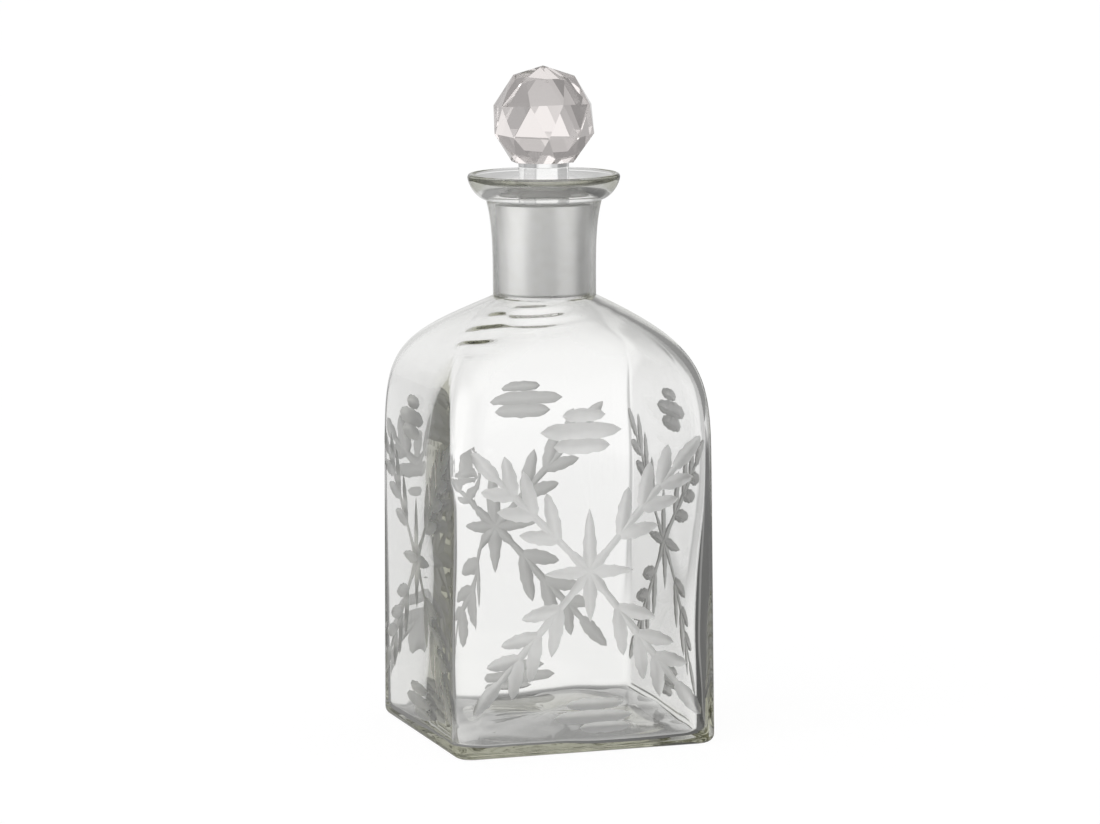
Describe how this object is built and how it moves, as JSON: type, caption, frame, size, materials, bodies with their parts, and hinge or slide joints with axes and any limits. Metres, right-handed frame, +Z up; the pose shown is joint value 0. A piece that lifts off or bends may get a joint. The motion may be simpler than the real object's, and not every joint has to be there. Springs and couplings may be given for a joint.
{
  "type": "square glass carafe with stopper",
  "caption": "Square glass carafe with rounded shoulders, a round neck and flared lip, wheel-cut leaf sprays, and a lift-out ground stopper topped by a faceted ball.",
  "frame": {"origin": "middle of the foot, on the plane that the carafe stands on", "axes": "+Z up along the neck, -Y out of the face that the picture shows from the front, -X out of the face on its left"},
  "size_m": [0.095, 0.095, 0.2337],
  "materials": {
    "clear_glass": "polished clear glass with matt wheel-cut ornament",
    "ground_glass": "ground matt plug with a polished stem",
    "cut_crystal": "polished flat facets"
  },
  "bodies": {
    "carafe": {"carafe_body": "clear_glass"},
    "stopper": {"stopper_plug": "ground_glass", "stopper_ball": "cut_crystal"}
  },
  "joints": [
    {"name": "stopper_lift", "type": "slide", "parent": "carafe", "child": "stopper", "axis": [0, 0, 1], "range_m": [0, 0.08]}
  ]
}
